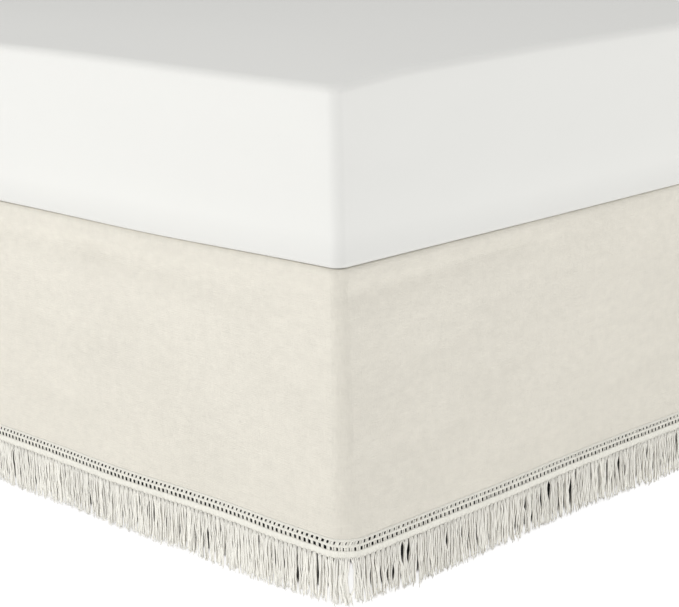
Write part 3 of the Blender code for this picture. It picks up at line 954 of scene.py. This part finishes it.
def rounded_ring(half_x, half_y, radius, corner_steps, side_steps):
    """Points of a rounded rectangle, anticlockwise from the middle of the right side."""
    inner_x, inner_y = half_x - radius, half_y - radius
    arcs = []
    for index, (side_x, side_y) in enumerate(((1, 1), (-1, 1), (-1, -1), (1, -1))):
        turns = np.radians(90.0 * index + np.linspace(0.0, 90.0, corner_steps + 1))
        x, y = side_x * inner_x + radius * np.cos(turns), side_y * inner_y + radius * np.sin(turns)
        arcs.append(np.stack([x, y], axis=-1))
    share = np.linspace(0.0, 1.0, side_steps + 1)[1:-1, None]
    points = []
    for arc, following in zip(arcs, arcs[1:] + arcs[:1]):
        points += [arc, arc[-1] + (following[0] - arc[-1]) * share]
    return np.concatenate(points)


def soft_box(name, low, high, profile, material, radius, bulge=None, corner_steps=10, side_steps=60):
    """A rounded box from rings. The profile goes from its underside to its top: inset, height, radius share.

    bulge moves the finished points outward."""
    centre = [(low[i] + high[i]) / 2 for i in (0, 1)]
    half = [(high[i] - low[i]) / 2 for i in (0, 1)]
    rings = []
    for inset, height, share in profile:
        ring = rounded_ring(half[0] - inset, half[1] - inset, radius * share, corner_steps, side_steps)
        level = np.full((len(ring), 1), height)
        rings.append(np.concatenate([ring + centre, level], axis=1))
    points = np.concatenate(rings)
    if bulge:
        points = bulge(points)
    return add_rings(name, points, len(rings[0]), material)


def quarter(radius, first, last, steps):
    """Points of a quarter circle as (inset, height above its lowest point's level)."""
    turns = np.radians(np.linspace(first, last, steps + 1))
    return [(radius * (1 - math.cos(turn)), radius * math.sin(turn)) for turn in turns]


def mattress_bulge(points):
    """The sides stand out a little between the corners, more at their foot and most where the foot sags."""
    x, y, z = points.T
    low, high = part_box("mattress")
    across, along = x / HALF_WIDTH, (y - (FOOT_Y + HEAD_Y) / 2) / (BED_LENGTH / 2)
    from_corner_x = HALF_WIDTH - np.abs(x)
    from_corner_y = BED_LENGTH / 2 * (1.0 - np.abs(along))
    foot = BULGE_FOOT * ease(from_corner_x / BULGE_EASE)
    foot = foot + SAG_BULGE * np.exp(-(((HALF_WIDTH - x - SAG_PLACE) / SAG_WIDTH) ** 2))
    side = BULGE_SIDE * ease(from_corner_y / BULGE_EASE)
    up = (z - low[2]) / (high[2] - low[2])
    share = (1.0 - BULGE_LOST_AT_TOP * ease(up)) * ease(up / BULGE_FROM)
    x = x + side * share * across * np.abs(across) ** BULGE_POWER
    y = y + foot * share * along * np.abs(along) ** BULGE_POWER
    sag = seam_sag(np.maximum(from_corner_x, 0.0), np.maximum(from_corner_y, 0.0))
    z = z - sag * (1.0 - ease((z - low[2]) / SAG_REACH))
    foot_dip = FOOT_DIP * (1.0 - ease(from_corner_x / FOOT_DIP_EASE))
    side_dip = FOOT_DIP * (1.0 - ease(from_corner_y / SIDE_DIP_EASE))
    side_rise = SIDE_RISE * ease(from_corner_y / SIDE_RISE_EASE)
    on_foot = 1.0 - ease(from_corner_y / FOOT_DIP_REACH)
    on_side = 1.0 - ease(from_corner_x / SIDE_DIP_REACH)
    rise = side_rise * on_side - np.maximum(foot_dip * on_foot, side_dip * on_side)
    return np.stack([x, y, z + rise * ease(up)], axis=-1)


def make_mattress(material):
    """The mattress in its fitted sheet: sides drawn tight over rounded edges, and a crowned top."""
    low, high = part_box("mattress")
    edge_top = high[2] - MATTRESS_CROWN
    profile = [(0.30, low[2], 4.0), (0.06, low[2], 2.0)]
    for inset, rise in quarter(MATTRESS_BOTTOM_RADIUS, -90.0, 0.0, 7):
        profile.append((inset, low[2] + MATTRESS_BOTTOM_RADIUS + rise, 1.0))
    wall_low, wall_high = low[2] + MATTRESS_BOTTOM_RADIUS, edge_top - MATTRESS_TOP_RADIUS
    for share in np.linspace(0.0, 1.0, 15)[1:-1]:
        bulge = 0.0012 * math.sin(math.pi * share)
        profile.append((-bulge, wall_low + (wall_high - wall_low) * share, 1.0))
    for inset, rise in quarter(MATTRESS_TOP_RADIUS, 0.0, 90.0, 10):
        profile.append((inset, wall_high + rise, 1.0 + 0.5 * inset / MATTRESS_TOP_RADIUS))
    for share in np.linspace(0.0, 1.0, 19)[1:]:
        inset = MATTRESS_TOP_RADIUS + (0.70 - MATTRESS_TOP_RADIUS) * share
        crown = MATTRESS_CROWN * ease((inset - MATTRESS_TOP_RADIUS) / 0.30)
        profile.append((inset, edge_top + float(crown), 1.5 + 1.2 * share))
    mattress = soft_box(
        "mattress_cover", low, high, profile, material, MATTRESS_CORNER_RADIUS, bulge=mattress_bulge
    )
    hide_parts("mattress")
    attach(mattress, "root")


def make_foundation(material):
    """The covered base, with a welt round its lower edge."""
    low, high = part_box("foundation")
    profile = [(inset, low[2] + rise, share) for inset, rise, share in FOUNDATION_WELT]
    wall_inset, wall_low, _ = profile[-1]
    wall_high = high[2] - FOUNDATION_EDGE_RADIUS
    for share in np.linspace(0.0, 1.0, 9)[1:-1]:
        inset = wall_inset - wall_inset * math.sin(math.pi * share)
        profile.append((inset, wall_low + (wall_high - wall_low) * share, 1.0))
    for inset, rise in quarter(FOUNDATION_EDGE_RADIUS, 0.0, 90.0, 8):
        profile.append((inset, wall_high + rise, 1.0 + 0.3 * inset / FOUNDATION_EDGE_RADIUS))
    profile.append((0.30, high[2], 3.0))
    base = soft_box("foundation_cover", low, high, profile, material, FOUNDATION_CORNER_RADIUS)
    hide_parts("foundation")
    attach(base, "root")


def make_leg(node, material):
    """A turned leg: tapered, with a worn edge at its foot and a collar under the base."""
    low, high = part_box(node)
    centre_x, centre_y = (low[0] + high[0]) / 2, (low[1] + high[1]) / 2
    sides = 40
    foot, top, neck = LEG_FOOT_RADIUS, LEG_TOP_RADIUS, high[2] - LEG_COLLAR
    taper = (top - foot) / (high[2] - low[2])
    profile = [(foot * 0.5, low[2]), (foot - 0.002, low[2])]
    profile += [(foot - 0.0006, low[2] + 0.0006), (foot, low[2] + 0.002)]
    profile += [(foot + taper * (z - low[2]), z) for z in np.linspace(low[2] + 0.01, neck, 12)]
    groove = profile[-1][0] - 0.0012
    profile += [(groove, neck + 0.001), (groove, neck + 0.002)]
    profile += [(top - 0.0006, neck + 0.003), (top, neck + 0.005), (top, high[2]), (top * 0.5, high[2])]
    turn = math.tau * np.arange(sides) / sides
    radius, height = np.array(profile).T[:, :, None]
    x, y = centre_x + radius * np.cos(turn), centre_y + radius * np.sin(turn)
    points = np.stack([x, y, np.broadcast_to(height, x.shape)], axis=-1).reshape(-1, 3)
    leg = add_rings(f"turned_{node}", points, sides, material)
    leg.data.set_sharp_from_angle(angle=math.radians(50))
    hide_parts(node)
    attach(leg, "root")


# The scene round the part


def add_camera():
    turn, down, roll = (math.radians(angle) for angle in (CAMERA_TURN, CAMERA_DOWN, CAMERA_ROLL))
    ahead = Vector((-math.sin(turn) * math.cos(down), math.cos(turn) * math.cos(down), -math.sin(down)))
    right = Vector((math.cos(turn), math.sin(turn), 0.0))
    up = right.cross(ahead)
    rolled_right = right * math.cos(roll) + up * math.sin(roll)
    rolled_up = up * math.cos(roll) - right * math.sin(roll)
    data = bpy.data.cameras.new("camera")
    data.sensor_width = 36.0
    data.lens = CAMERA_LENS
    camera = add_object("camera", data)
    camera.matrix_world = Matrix.Translation(CAMERA_PLACE) @ Matrix(
        (rolled_right, rolled_up, -ahead)
    ).transposed().to_4x4()
    bpy.context.scene.camera = camera


def add_floor():
    """A wide white floor that glows a little, and more next to the bed as painted light, but not in the bed's
    own shade, where its colour is painted dark as painted shade.
    """
    outer = np.concatenate([-np.geomspace(0.2, FLOOR_REACH, 12)[::-1], np.geomspace(0.2, FLOOR_REACH, 12)])
    rim, corner = np.linspace(-0.04, 0.08, 21), np.linspace(0.0, 0.24, 41)
    near_x = (np.linspace(-1.3, 1.3, 53), HALF_WIDTH - rim, rim - HALF_WIDTH, HALF_WIDTH - corner)
    near_y = (np.linspace(-1.5, 1.5, 61), FOOT_Y + rim, HEAD_Y - rim, FOOT_Y + corner)
    x = np.unique(np.round(np.concatenate([outer[np.abs(outer) > 1.4], *near_x]), 4))
    y = np.unique(np.round(np.concatenate([outer[np.abs(outer) > 1.6], *near_y]), 4))
    grid_x, grid_y = np.meshgrid(x, y)
    inside_x, inside_y = HALF_WIDTH - np.abs(grid_x), np.minimum(grid_y - FOOT_Y, HEAD_Y - grid_y)
    inside = np.minimum(inside_x, inside_y)
    from_foot_corner = np.hypot(HALF_WIDTH - grid_x, grid_y - FOOT_Y)
    by_corner = 1.0 - ease((from_foot_corner - SHADE_CORNER_REACH) / SHADE_CORNER_EASE)
    onset = SHADE_INSET + SHADE_CORNER_INSET * by_corner
    shade = ease((inside - onset) / SHADE_EASE)
    # The stretch of floor seen through the gap beside the photo's corner stays light
    along = (HALF_WIDTH - grid_x + grid_y - FOOT_Y) / math.sqrt(2)
    aside = np.abs(grid_x - HALF_WIDTH + grid_y - FOOT_Y) / math.sqrt(2)
    seen = 1.0 - ease((aside - SEEN_HALF_WIDTH) / SEEN_HALF_WIDTH)
    seen = seen * (1.0 - ease((along - SEEN_LENGTH) / SEEN_LENGTH_EASE))
    shade = shade * (1.0 - seen)
    near = np.exp(-((np.maximum(-inside, 0.0) / FLOOR_NEAR_REACH) ** 2))
    # Above zero the value is the glow, and below it the shade
    tone = (FLOOR_GLOW + FLOOR_NEAR_GLOW * near) * (1.0 - shade) - shade
    points = np.stack([grid_x, grid_y, np.zeros_like(grid_x)], axis=-1)
    shader = Shader("white_floor", (FLOOR_WHITE,) * 3, 0.9, Specular_IOR_Level=0.1)
    own = shader.node("ShaderNodeAttribute", attribute_name="tone").outputs["Fac"]
    # Painted shade: under the bed the floor's colour drops to a tenth of its white; the stronger glow near
    # the bed is painted light
    shader.tint((FLOOR_WHITE,) * 3, shader.range(own, -1.0, 0.0, FLOOR_SHADE, 1.0))
    shader.main.inputs["Emission Color"].default_value = (1.0, 1.0, 1.0, 1.0)
    shader.tree.links.new(shader.range(own, 0.0, 2.0, 0.0, 2.0), shader.main.inputs["Emission Strength"])
    floor = add_mesh("floor", shader.material, points, grid_faces(len(y), len(x)), tone=tone)


def add_lights():
    world = bpy.data.worlds.new("studio")
    world.use_nodes = True
    background = world.node_tree.nodes["Background"]
    background.inputs["Color"].default_value = (1.0, 1.0, 1.0, 1.0)
    background.inputs["Strength"].default_value = WORLD_LIGHT
    bpy.context.scene.world = world
    for name, place, size, watts in AREA_LIGHTS:
        data = bpy.data.lights.new(name, "AREA")
        data.size = size
        data.energy = watts
        light = add_object(name, data)
        light.location = place
        aim = Vector(LIGHT_AIM) - Vector(place)
        light.rotation_euler = aim.to_track_quat("-Z", "Y").to_euler()
        light.visible_camera = False


def main():
    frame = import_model()
    add_camera()
    add_floor()
    add_lights()
    bpy.context.scene.view_settings.view_transform = "Standard"
    ivory = cloth_material()
    heading_yarn = yarn_material("cream_heading_yarn", HEADING)
    make_mattress(sheet_material())
    make_foundation(ticking_material())
    wood = wood_material()
    for node in frame["nodes"]:
        if node.startswith("leg_"):
            make_leg(node, wood)
    make_deck(ivory)
    make_drop(ivory)
    make_heading(heading_yarn)
    make_band(heading_yarn)
    make_fringe(yarn_material("cream_fringe_yarn", YARN, painted_side_shade=True))


main()
